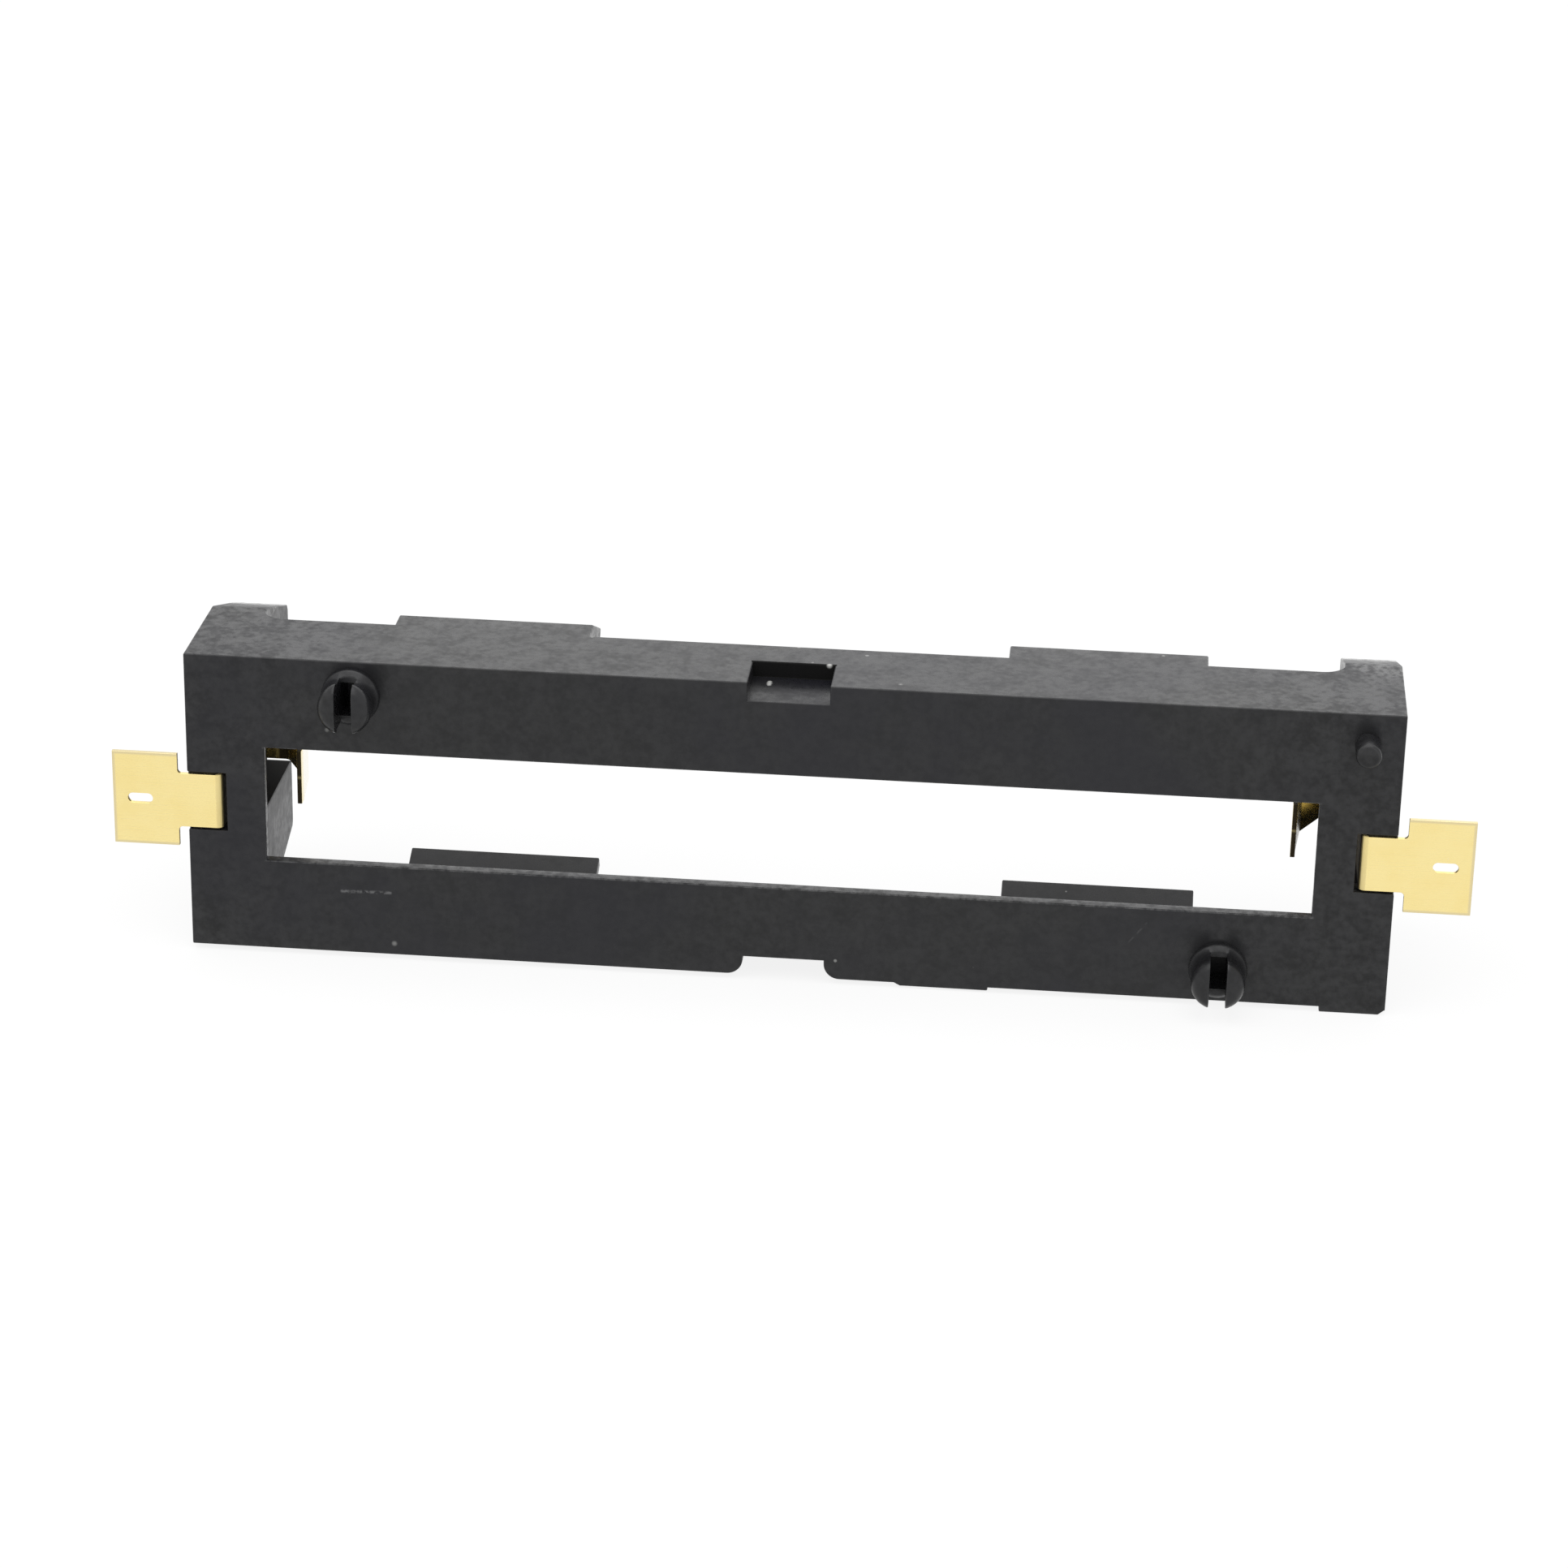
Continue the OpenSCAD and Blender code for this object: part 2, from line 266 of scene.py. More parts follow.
class Effect:
    """A surface effect kept as one node group, which each finish places with its own values."""

    title: ClassVar[str] = ""
    takes: ClassVar[dict[str, str]] = {}
    gives: ClassVar[tuple[str, ...]] = ()

    def wire(self, sheet: NodeSheet, given: Given) -> Results:
        """Lay the group's nodes out.

        Args:
            sheet: the group's own sheet.
            given: the group's inputs by name.

        Returns:
            The result for each output name.
        """
        raise NotImplementedError

    def tree(self) -> bpy.types.NodeTree:
        """Build the group once.

        Returns:
            The group's tree.
        """
        known = bpy.data.node_groups.get(self.title)
        if known:
            return known
        tree = bpy.data.node_groups.new(self.title, "ShaderNodeTree")
        for name, kind in self.takes.items():
            tree.interface.new_socket(name, in_out="INPUT", socket_type=kind)
        for name in self.gives:
            tree.interface.new_socket(name, in_out="OUTPUT", socket_type="NodeSocketFloat")
        sheet = NodeSheet(tree)
        results = self.wire(sheet, sheet.add("NodeGroupInput").outputs)
        outlet = sheet.add("NodeGroupOutput")
        for name, socket in results.items():
            sheet.feed(outlet.inputs[name], socket)
        return tree

    def on(self, sheet: NodeSheet, **values: Source) -> bpy.types.NodeOutputs:
        """Place the group in a material.

        Args:
            sheet: the material's sheet.
            values: the group's inputs by name.

        Returns:
            The group's outputs by name.
        """
        node = sheet.add("ShaderNodeGroup", node_tree=self.tree())
        for name, source in values.items():
            sheet.feed(node.inputs[name], source)
        return node.outputs


class SurfaceGrain(Effect):
    """Fine grain, coarser grain and wider patches, each between 0 and 1."""

    title = "surface_grain"
    takes = {"Grain": "NodeSocketFloat", "Patch": "NodeSocketFloat"}
    gives = ("Fine", "Mid", "Patches")
    mid_turns: ClassVar[float] = 0.3
    mid_layers: ClassVar[float] = 3.0
    patch_layers: ClassVar[float] = 4.0
    layer_weight: ClassVar[float] = 0.6

    def wire(self, sheet: NodeSheet, given: Given) -> Results:
        """Lay out three clouds of noise.

        Args:
            sheet: the group's own sheet.
            given: size of the grain and of the patches, in metres.

        Returns:
            The three clouds.
        """
        place = sheet.place()
        fine = sheet.math("DIVIDE", 1.0, given["Grain"])
        mid = sheet.math("DIVIDE", self.mid_turns, given["Grain"])
        wide = sheet.math("DIVIDE", 1.0, given["Patch"])
        return {
            "Fine": sheet.noise(place, fine),
            "Mid": sheet.noise(place, mid, self.mid_layers, self.layer_weight),
            "Patches": sheet.noise(place, wide, self.patch_layers, self.layer_weight),
        }


class RubbedEdge(Effect):
    """Where handling has rubbed the outer edges, 0 to 1."""

    title = "rubbed_edge"
    takes = {"Amount": "NodeSocketFloat", "Breakup": "NodeSocketFloat"}
    gives = ("Rub",)
    layers: ClassVar[float] = 3.0
    rubbed_span: ClassVar[Span] = (0.35, 0.65)

    def wire(self, sheet: NodeSheet, given: Given) -> Results:
        """Break the rounded edges' mask up with noise.

        Args:
            sheet: the group's own sheet.
            given: amount of rubbing, and size of the noise in metres.

        Returns:
            The broken mask.
        """
        edge = sheet.add("ShaderNodeAttribute", attribute_name=EDGE_RUB).outputs["Fac"]
        turns = sheet.math("DIVIDE", 1.0, given["Breakup"])
        cloud = sheet.noise(sheet.place(), turns, self.layers)
        broken = sheet.times(edge, sheet.ramp(cloud, self.rubbed_span))
        return {"Rub": sheet.math("MULTIPLY", broken, given["Amount"], clamp=True)}


class DustSpecks(Effect):
    """Loose specks of pale dust, 0 to 1."""

    title = "dust_specks"
    takes = {"Spacing": "NodeSocketFloat", "Size": "NodeSocketFloat", "Share": "NodeSocketFloat"}
    gives = ("Specks",)
    least_size: ClassVar[float] = 0.4
    core: ClassVar[float] = 0.6

    def wire(self, sheet: NodeSheet, given: Given) -> Results:
        """Put a speck at a share of scattered points.

        Args:
            sheet: the group's own sheet.
            given: spacing and size in metres, and share of the points that have a speck.

        Returns:
            The specks' mask.
        """
        cells = sheet.add("ShaderNodeTexVoronoi", voronoi_dimensions="3D", feature="F1")
        sheet.feed(cells.inputs["Vector"], sheet.place())
        sheet.feed(cells.inputs["Scale"], sheet.math("DIVIDE", 1.0, given["Spacing"]))
        draws = sheet.add("ShaderNodeSeparateColor")
        sheet.feed(draws.inputs["Color"], cells.outputs["Color"])
        size = sheet.math("DIVIDE", given["Size"], given["Spacing"])
        reach = sheet.times(size, sheet.ramp(draws.outputs["Green"], RISING, (self.least_size, 1.0)))
        near = sheet.ramp(cells.outputs["Distance"], (sheet.times(reach, self.core), reach), FALLING)
        chosen = sheet.math("LESS_THAN", draws.outputs["Red"], given["Share"])
        return {"Specks": sheet.times(near, chosen)}


class FineLines(Effect):
    """Fine drawn lines or scuffs, 0 to 1."""

    title = "fine_lines"
    takes = {"Turns": "NodeSocketVector", "From": "NodeSocketFloat", "To": "NodeSocketFloat"}
    gives = ("Lines",)
    layers: ClassVar[float] = 3.0
    layer_weight: ClassVar[float] = 0.6

    def wire(self, sheet: NodeSheet, given: Given) -> Results:
        """Stretch noise and keep its crests.

        Args:
            sheet: the group's own sheet.
            given: turns per metre along each axis, and the noise values where lines start and are full.

        Returns:
            The lines' mask.
        """
        stretched = sheet.vector("MULTIPLY", sheet.place(), given["Turns"]).outputs["Vector"]
        cloud = sheet.noise(stretched, 1.0, self.layers, self.layer_weight)
        return {"Lines": sheet.ramp(cloud, (given["From"], given["To"]))}


class EndZone(Effect):
    """A box mirrored to all ends and sides of the holder, 1 inside and 0 outside."""

    title = "end_zone"
    takes = {"Near": "NodeSocketVector", "Far": "NodeSocketVector", "Fade": "NodeSocketFloat"}
    gives = ("Zone",)

    def wire(self, sheet: NodeSheet, given: Given) -> Results:
        """Measure how far a point lies outside the box.

        Args:
            sheet: the group's own sheet.
            given: near and far corner and half width of the soft border, in metres.

        Returns:
            The box's mask.
        """
        folded = sheet.vector("ABSOLUTE", sheet.place()).outputs["Vector"]
        short = sheet.vector("SUBTRACT", given["Near"], folded).outputs["Vector"]
        past = sheet.vector("SUBTRACT", folded, given["Far"]).outputs["Vector"]
        split = sheet.add("ShaderNodeSeparateXYZ")
        sheet.feed(split.inputs[0], sheet.vector("MAXIMUM", short, past).outputs["Vector"])
        outside = sheet.most(split.outputs["X"], split.outputs["Y"])
        outside = sheet.most(outside, split.outputs["Z"])
        border = (sheet.times(given["Fade"], -1.0), given["Fade"])
        return {"Zone": sheet.ramp(outside, border, FALLING)}


class SoftSpot(Effect):
    """A soft round spot at a known place, 0 to 1: grains of dust, a paler patch and a painted highlight.
    """

    title = "soft_spot"
    takes = {"Centre": "NodeSocketVector", "Radius": "NodeSocketFloat"}
    gives = ("Grain",)
    core: ClassVar[float] = 0.2

    def wire(self, sheet: NodeSheet, given: Given) -> Results:
        """Fade a ball out from its centre.

        Args:
            sheet: the group's own sheet.
            given: centre and radius, in metres.

        Returns:
            The ball's mask.
        """
        away = sheet.vector("DISTANCE", sheet.place(), given["Centre"]).outputs["Value"]
        core = sheet.times(given["Radius"], self.core)
        return {"Grain": sheet.ramp(away, (core, given["Radius"]), FALLING)}


class Scratch(Effect):
    """One light scratch from point to point, 0 to 1."""

    title = "scratch"
    takes = {"Start": "NodeSocketVector", "Stop": "NodeSocketVector", "Width": "NodeSocketFloat"}
    gives = ("Scratch",)
    gap: ClassVar[float] = 0.35 * MM
    gap_span: ClassVar[Span] = (0.38, 0.6)

    def wire(self, sheet: NodeSheet, given: Given) -> Results:
        """Fade out from the nearest point of a line, with gaps along it.

        Args:
            sheet: the group's own sheet.
            given: both ends and half width, in metres.

        Returns:
            The scratch's mask.
        """
        place = sheet.place()
        run = sheet.vector("SUBTRACT", given["Stop"], given["Start"]).outputs["Vector"]
        offset = sheet.vector("SUBTRACT", place, given["Start"]).outputs["Vector"]
        along = sheet.vector("DOT_PRODUCT", offset, run).outputs["Value"]
        length = sheet.vector("DOT_PRODUCT", run, run).outputs["Value"]
        share = sheet.math("DIVIDE", along, length, clamp=True)
        nearest = sheet.vector("SCALE", run, scale=share).outputs["Vector"]
        away = sheet.vector("DISTANCE", offset, nearest).outputs["Value"]
        line = sheet.ramp(away, (0.0, given["Width"]), FALLING)
        gaps = sheet.ramp(sheet.noise(place, 1.0 / self.gap), self.gap_span)
        return {"Scratch": sheet.times(line, gaps)}


@dataclass(frozen=True)
class Grain:
    """One soft round spot, used for grains of dust, a paler patch and a painted highlight: its place,
    reach in metres and share of its colour.
    """

    centre: Point
    radius: float
    share: float

    def on(self, sheet: NodeSheet) -> bpy.types.NodeSocket:
        """Place the spot in a material, as a mask that falls from its share to 0."""
        spot = SoftSpot().on(sheet, Centre=self.centre, Radius=self.radius)["Grain"]
        return sheet.times(spot, self.share)


@dataclass(frozen=True)
class Score:
    """One scratch: its two ends, half width in metres and share of the scratch's colour."""

    start: Point
    stop: Point
    width: float
    share: float

    def on(self, sheet: NodeSheet) -> bpy.types.NodeSocket:
        """Place the scratch in a material, as a mask that falls from its share to 0."""
        line = Scratch().on(sheet, Start=self.start, Stop=self.stop, Width=self.width)["Scratch"]
        return sheet.times(line, self.share)


@dataclass(frozen=True)
class Zone:
    """A box with corners in metres, near and far from the holder's middle, and a soft border."""

    near: Point
    far: Point
    fade: float = 0.02 * MM

    def on(self, sheet: NodeSheet) -> bpy.types.NodeSocket:
        """Place the zone in a material, as a mask that is 1 inside and 0 elsewhere."""
        return EndZone().on(sheet, Near=self.near, Far=self.far, Fade=self.fade)["Zone"]


def strongest(sheet: NodeSheet, marks: Iterable[Grain | Score]) -> Source:
    """Gather grains or scratches into one mask.

    Args:
        sheet: the material's sheet.
        marks: the grains or scratches.

    Returns:
        A socket with the strongest mark at each point, or 0 where there are none.
    """
    mask: Source = 0.0
    for mark in marks:
        mask = sheet.most(mask, mark.on(sheet))
    return mask


@dataclass(frozen=True)
class Finish:
    """What the finishes of the pieces share: a name and a fine relief, with its height in metres."""

    name: str = ""
    relief: float = 0.0
    relief_strength: float = 0.0

    def material(self) -> bpy.types.Material:
        """Build the finish once.

        Returns:
            The finish's material, shared by all pieces that have it.
        """
        known = bpy.data.materials.get(self.name)
        if known:
            return known
        material = bpy.data.materials.new(self.name)
        material.use_nodes = True
        self.coat(NodeSheet(material.node_tree), material.node_tree.nodes["Principled BSDF"])
        return material

    def coat(self, sheet: NodeSheet, shader: bpy.types.Node) -> None:
        """Feed the shader with colour, roughness and relief.

        Args:
            sheet: the material's sheet.
            shader: the material's Principled BSDF.
        """
        raise NotImplementedError

    def emboss(self, sheet: NodeSheet, shader: bpy.types.Node, height: Source) -> None:
        """Raise the surface by a fine relief.

        Args:
            sheet: the material's sheet.
            shader: the material's Principled BSDF.
            height: share of the relief's height.
        """
        bump = sheet.add("ShaderNodeBump")
        bump.inputs["Strength"].default_value = self.relief_strength
        bump.inputs["Distance"].default_value = self.relief
        sheet.feed(bump.inputs["Height"], height)
        sheet.feed(shader.inputs["Normal"], bump.outputs["Normal"])


@dataclass(frozen=True)
class MouldedPlastic(Finish):
    """Matt black moulding: fine grain, soft blotches, rubbed edges, a little dust and two scratches, with
    painted shade, shine and highlights.
    """

    name: str = "black_moulded_plastic"
    relief: float = 0.006 * MM
    relief_strength: float = 0.4
    mid_relief: float = 1.5

    # Colours of the plastic and of what lies on it, and of the painted shade, shine and highlight.
    dark: Colour = (0.0022, 0.0022, 0.0025)
    pale: Colour = (0.0252, 0.0253, 0.0268)
    bluish: Colour = (0.0098, 0.0098, 0.0142)
    painted_shade: Colour = (0.0015, 0.0014, 0.0014)
    rubbed: Colour = (0.04, 0.04, 0.041)
    pale_patch_and_highlight: Colour = (0.15, 0.15, 0.151)
    painted_sheen: Colour = (0.6, 0.6, 0.595)
    scratched: Colour = (0.13, 0.13, 0.133)
    dust: Colour = (0.62, 0.62, 0.60)

    # Gloss: the roughness swings with the blotches, and some faces add to it or take from it.
    specular: float = 0.36
    roughness: float = 0.32
    roughness_swing: float = 0.26
    shaded_roughness: float = 0.95
    lean_polish: float = 0.1
    inner_matt: float = 0.1

    # Grain, blotches and wide bluish patches: sizes, noise values where they start and are full, and
    # shares. Calm is the share of even grey, in the holder's middle and at its ends.
    grain: float = 0.15 * MM
    patch: float = 1.5 * MM
    wide_patch: float = 15.0 * MM
    blotch_span: Span = (0.68, 1.32)
    calm_shares: Span = (0.5, 0.1)
    inner_calm: float = 0.75
    bluish_span: Span = (0.42, 0.68)
    bluish_shares: Span = (0.0, 0.7)

    # Wear, dust and painted light: uneven clouds break the paler patch, the painted highlight on the rim
    # and the painted shine up, and the leaning sides get their painted shine only at a grazing view.
    uneven_span: Span = (0.36, 0.64)
    lean_shares: Span = (0.55, 1.0)
    grazing_span: Span = (0.84, 0.95)
    rub_amount: float = 0.6
    rub_breakup: float = 1.2 * MM
    scuff_turns: Point = (160.0, 2600.0, 2600.0)
    scuff_span: Span = (0.66, 0.8)
    scuff_share: float = 0.2
    rim_share: float = 0.4
    speck_spacing: float = 1.1 * MM
    speck_size: float = 0.16 * MM
    speck_odds: float = 0.05
    speck_share: float = 0.35

    # Boxes for the painted shade in the contacts' seats and on the upper face of the notches, the painted
    # shine on the leaning sides, the painted highlight on the window's rim, the inner faces of the end
    # blocks, and the ends with the stronger blotches.
    painted_shade_zone: Zone = Zone((34.72 * MM, 0.0, 1.7 * MM), (36.4 * MM, 3.3 * MM, 15.2 * MM))
    notch_painted_shade: Zone = Zone((0.0, 8.9 * MM, 3.7 * MM), (2.7 * MM, 10.5 * MM, 3.9 * MM))
    lean: Zone = Zone((34.6 * MM, 5.0 * MM, 9.2 * MM), (39.0 * MM, 11.0 * MM, 17.0 * MM), 0.5 * MM)
    rim: Zone = Zone((0.0, 3.8 * MM, 0.0), (33.4 * MM, 3.95 * MM, 1.2 * MM))
    inner: Zone = Zone((34.55 * MM, 0.0, 0.7 * MM), (34.71 * MM, 9.0 * MM, 16.0 * MM))
    busy: Zone = Zone((30.0 * MM, -20.0 * MM, -20.0 * MM), (60.0 * MM, 40.0 * MM, 40.0 * MM), 8.0 * MM)

    # Single marks: a paler patch at one corner, grains of dust with one painted highlight among them, and
    # two scratches.
    # A paler patch at the top corner of the right end block.
    pale_corner: Grain = Grain((36.9 * MM, -9.9 * MM, 8.9 * MM), 3.2 * MM, 0.8)
    dust_and_highlight_grains: tuple[Grain, ...] = (
        Grain((-1.457 * MM, -8.93 * MM, 2.83 * MM), 0.24 * MM, 0.8),
        Grain((-1.457 * MM, -8.93 * MM, 3.05 * MM), 0.2 * MM, 0.75),
        Grain((-1.457 * MM, -8.93 * MM, 2.61 * MM), 0.2 * MM, 0.75),
        # Painted highlight where the upper face of the notches meets the long side, not a grain of dust.
        Grain((2.23 * MM, -9.94 * MM, 3.83 * MM), 0.24 * MM, 0.9),
        Grain((-25.07 * MM, 9.21 * MM, 0.0), 0.24 * MM, 0.28),
        Grain((-29.17 * MM, -5.34 * MM, 0.0), 0.2 * MM, 0.22),
        Grain((6.9 * MM, -10.0 * MM, 1.05 * MM), 0.18 * MM, 0.3),
    )
    scratches: tuple[Score, ...] = (
        Score((-28.4 * MM, 5.72 * MM, 0.0), (-25.3 * MM, 5.67 * MM, 0.0), 0.17 * MM, 1.0),
        Score((21.9 * MM, 6.23 * MM, 0.0), (22.96 * MM, 4.88 * MM, 0.0), 0.1 * MM, 0.25),
    )

    def coat(self, sheet: NodeSheet, shader: bpy.types.Node) -> None:
        """Feed the shader with black plastic, the wear on it, and the painted shade, shine and highlights.

        Args:
            sheet: the material's sheet.
            shader: the material's Principled BSDF.
        """
        grain = SurfaceGrain().on(sheet, Grain=self.grain, Patch=self.patch)
        uneven = sheet.ramp(grain["Mid"], self.uneven_span)
        lean = sheet.times(self.lean.on(sheet), sheet.ramp(uneven, RISING, self.lean_shares))
        # Painted shade: mask of the contacts' seats and of the upper face of the notches.
        painted_shade_zone = sheet.most(self.painted_shade_zone.on(sheet), self.notch_painted_shade.on(sheet))
        inner = self.inner.on(sheet)
        blotch = self.blotches(sheet, grain, inner)

        base = sheet.blend(blotch, self.dark, self.pale)
        colour = sheet.layer(base, self.tints(sheet, uneven, lean, painted_shade_zone))
        sheet.feed(shader.inputs["Base Color"], colour)

        swing = self.roughness_swing / 2
        rough = sheet.ramp(blotch, RISING, (self.roughness + swing, self.roughness - swing))
        rough = sheet.math("SUBTRACT", rough, sheet.times(lean, self.lean_polish))
        rough = sheet.math("ADD", rough, sheet.times(inner, self.inner_matt))
        rough = sheet.math("ADD", rough, sheet.times(painted_shade_zone, self.shaded_roughness), clamp=True)
        sheet.feed(shader.inputs["Roughness"], rough)
        shader.inputs["Specular IOR Level"].default_value = self.specular

        height = sheet.math("ADD", grain["Fine"], sheet.times(grain["Mid"], self.mid_relief))
        self.emboss(sheet, shader, height)

    def blotches(
        self, sheet: NodeSheet, grain: bpy.types.NodeOutputs, inner: Source
    ) -> bpy.types.NodeSocket:
        """Mix grain and patches into soft blotches, fainter in the middle and on the inner faces.

        Args:
            sheet: the material's sheet.
            grain: the surface grain's outputs.
            inner: mask of the end blocks' inner faces.

        Returns:
            A socket from 0 on dark to 1 on pale plastic.
        """
        blotch = sheet.ramp(sheet.math("ADD", grain["Patches"], grain["Mid"]), self.blotch_span)
        calm = sheet.ramp(self.busy.on(sheet), RISING, self.calm_shares)
        calm = sheet.most(calm, sheet.times(inner, self.inner_calm))
        return sheet.blend(calm, blotch, MID_GREY)

    def tints(self, sheet: NodeSheet, uneven: Source, lean: Source, painted_shade_zone: Source) -> tuple[Tint, ...]:
        """List what lies over the plain black, painted shade, shine and highlights among it, from the
        lowest layer up.

        Args:
            sheet: the material's sheet.
            uneven: small clouds that break the paler patch and the painted highlight up.
            lean: mask of the end blocks' leaning sides, which get a painted shine at a grazing view.
            painted_shade_zone: mask of the pockets and notches, where shade is painted.

        Returns:
            Share and colour of each layer.
        """
        wide = SurfaceGrain().on(sheet, Grain=self.patch, Patch=self.wide_patch)["Patches"]
        rub = RubbedEdge().on(sheet, Amount=self.rub_amount, Breakup=self.rub_breakup)["Rub"]
        specks = DustSpecks().on(
            sheet, Spacing=self.speck_spacing, Size=self.speck_size, Share=self.speck_odds
        )["Specks"]
        start, full = self.scuff_span
        scuffs = FineLines().on(sheet, Turns=self.scuff_turns, From=start, To=full)["Lines"]
        grazing = sheet.ramp(sheet.facing(), self.grazing_span)
        rim = sheet.times(self.rim.on(sheet), uneven)
        return (
            (sheet.ramp(wide, self.bluish_span, self.bluish_shares), self.bluish),
            (sheet.times(scuffs, self.scuff_share), self.rubbed),
            (rub, self.rubbed),
            # Painted shine on the leaning sides at a grazing view.
            (sheet.times(lean, grazing), self.painted_sheen),
            # A paler patch at the top corner of the right end block.
            (sheet.times(self.pale_corner.on(sheet), uneven), self.pale_patch_and_highlight),
            # Painted highlight on the window's rim.
            (sheet.times(rim, self.rim_share), self.pale_patch_and_highlight),
            (sheet.times(specks, self.speck_share), self.dust),
            (strongest(sheet, self.scratches), self.scratched),
            # Painted shade in the contacts' seats and on the upper face of the notches.
            (painted_shade_zone, self.painted_shade),
            # Dust grains, and one painted highlight among them.
            (strongest(sheet, self.dust_and_highlight_grains), self.dust),
        )


@dataclass(frozen=True)
class GoldPlate(Finish):
    """Satin gold plating on rolled sheet: faint rolling lines, soft colour patches, darker edges, a
    painted shine at glancing views and painted shade on the hidden foot.
    """

    name: str = "gold_plated_sheet"
    relief: float = 0.0012 * MM
    relief_strength: float = 0.2
    grain_relief: float = 0.6

    # Colours of the plating and of what lies on it, and of the painted shine and painted shade.
    plate: Colour = (0.935, 0.78, 0.36)
    warm: Colour = (0.9, 0.72, 0.29)
    edge: Colour = (0.80, 0.62, 0.27)
    border: Colour = (0.7, 0.6, 0.36)
    painted_glance: Colour = (1.0, 0.975, 0.9)
    dark_and_painted_shade: Colour = (0.05, 0.035, 0.012)
    dust: Colour = (0.8, 0.78, 0.72)

    # Gloss: the roughness swings with the rolling lines, and dust and bare metal add to it.
    roughness: float = 0.27
    roughness_swing: float = 0.03
    speck_dull: float = 0.3
    bare_dull: float = 0.6

    # Grain, warm patches and rolling lines: sizes, noise values where they start and are full, and shares.
    grain: float = 0.12 * MM
    patch: float = 2.4 * MM
    warm_span: Span = (0.35, 0.75)
    warm_shares: Span = (0.0, 0.55)
    rolling_turns: Point = (220.0, 5200.0, 220.0)
    rolling_span: Span = (0.35, 0.75)
    rolling_share: float = 0.025

    # Rubbed edges, dust, painted shine at glancing views, the tab's border, sheared edges and the bend
    # beside the housing.
    rub_amount: float = 0.7
    rub_breakup: float = 0.6 * MM
    speck_spacing: float = 0.9 * MM
    speck_size: float = 0.1 * MM
    speck_odds: float = 0.06
    speck_share: float = 0.5
    glance_span: Span = (0.7, 0.95)
    border_shares: Span = (0.8, 0.0)
    sheared_span: Span = (0.6, 0.9)
    bend_share: float = 0.75

    # Boxes for all inside the tab's border, the hidden foot with its painted shade, the bend beside the
    # housing and the leaf.
    panel: Zone = Zone((30.0 * MM, -1.0 * MM, -1.0 * MM), (42.9 * MM, 2.98 * MM, 14.0 * MM), 0.1 * MM)
    foot: Zone = Zone((35.2 * MM, 0.0, 0.0), (36.05 * MM, 3.3 * MM, 5.0 * MM))
    bend: Zone = Zone((36.1 * MM, -1.0 * MM, -1.0 * MM), (36.42 * MM, 3.3 * MM, 0.5 * MM), 0.05 * MM)
    leaf: Zone = Zone((31.0 * MM, 0.0, 2.0 * MM), (34.9 * MM, 3.3 * MM, 13.0 * MM), 0.2 * MM)

    def coat(self, sheet: NodeSheet, shader: bpy.types.Node) -> None:
        """Feed the shader with gold plating, what dulls it, and the painted shine and shade.

        Args:
            sheet: the material's sheet.
            shader: the material's Principled BSDF.
        """
        grain = SurfaceGrain().on(sheet, Grain=self.grain, Patch=self.patch)
        rub = RubbedEdge().on(sheet, Amount=self.rub_amount, Breakup=self.rub_breakup)["Rub"]
        start, full = self.rolling_span
        rolling = FineLines().on(sheet, Turns=self.rolling_turns, From=start, To=full)["Lines"]
        specks = DustSpecks().on(
            sheet, Spacing=self.speck_spacing, Size=self.speck_size, Share=self.speck_odds
        )["Specks"]
        dark = self.dark_edges_and_shade_mask(sheet)
        bare = sheet.most(dark, sheet.times(self.bend.on(sheet), self.bend_share))

        tints = (
            (sheet.ramp(grain["Patches"], self.warm_span, self.warm_shares), self.warm),
            (sheet.times(rolling, self.rolling_share), self.warm),
            (rub, self.edge),
            (sheet.times(specks, self.speck_share), self.dust),
            # Painted shine at glancing views.
            (sheet.ramp(sheet.facing(), self.glance_span), self.painted_glance),
            (sheet.ramp(self.panel.on(sheet), RISING, self.border_shares), self.border),
            # Darker sheared edges of the leaf, and painted shade on the hidden foot in the slit.
            (dark, self.dark_and_painted_shade),
        )
        sheet.feed(shader.inputs["Base Color"], sheet.layer(self.plate, tints))
        sheet.feed(shader.inputs["Metallic"], sheet.math("SUBTRACT", 1.0, bare))

        swing = self.roughness_swing / 2
        rough = sheet.ramp(rolling, RISING, (self.roughness - swing, self.roughness + swing))
        dull = sheet.most(sheet.times(specks, self.speck_dull), sheet.times(bare, self.bare_dull))
        sheet.feed(shader.inputs["Roughness"], sheet.math("ADD", rough, dull))

        height = sheet.math("ADD", rolling, sheet.times(grain["Fine"], self.grain_relief))
        self.emboss(sheet, shader, height)

    def dark_edges_and_shade_mask(self, sheet: NodeSheet) -> bpy.types.NodeSocket:
        """Find the sheared edges of the leaf, which are made darker, and the hidden foot, where the shade
        of the slit is painted.

        Args:
            sheet: the material's sheet.

        Returns:
            A socket that is 1 on the darker edges and on the painted shade.
        """
        split = sheet.add("ShaderNodeSeparateXYZ")
        sheet.feed(split.inputs[0], sheet.add("ShaderNodeTexCoord").outputs["Normal"])
        sides = sheet.math("ABSOLUTE", split.outputs["Y"])
        tip = sheet.times(split.outputs["Z"], -1.0)
        sheared = sheet.ramp(sheet.most(sides, tip), self.sheared_span)
        edges = sheet.times(sheared, self.leaf.on(sheet))
        return sheet.most(edges, self.foot.on(sheet))


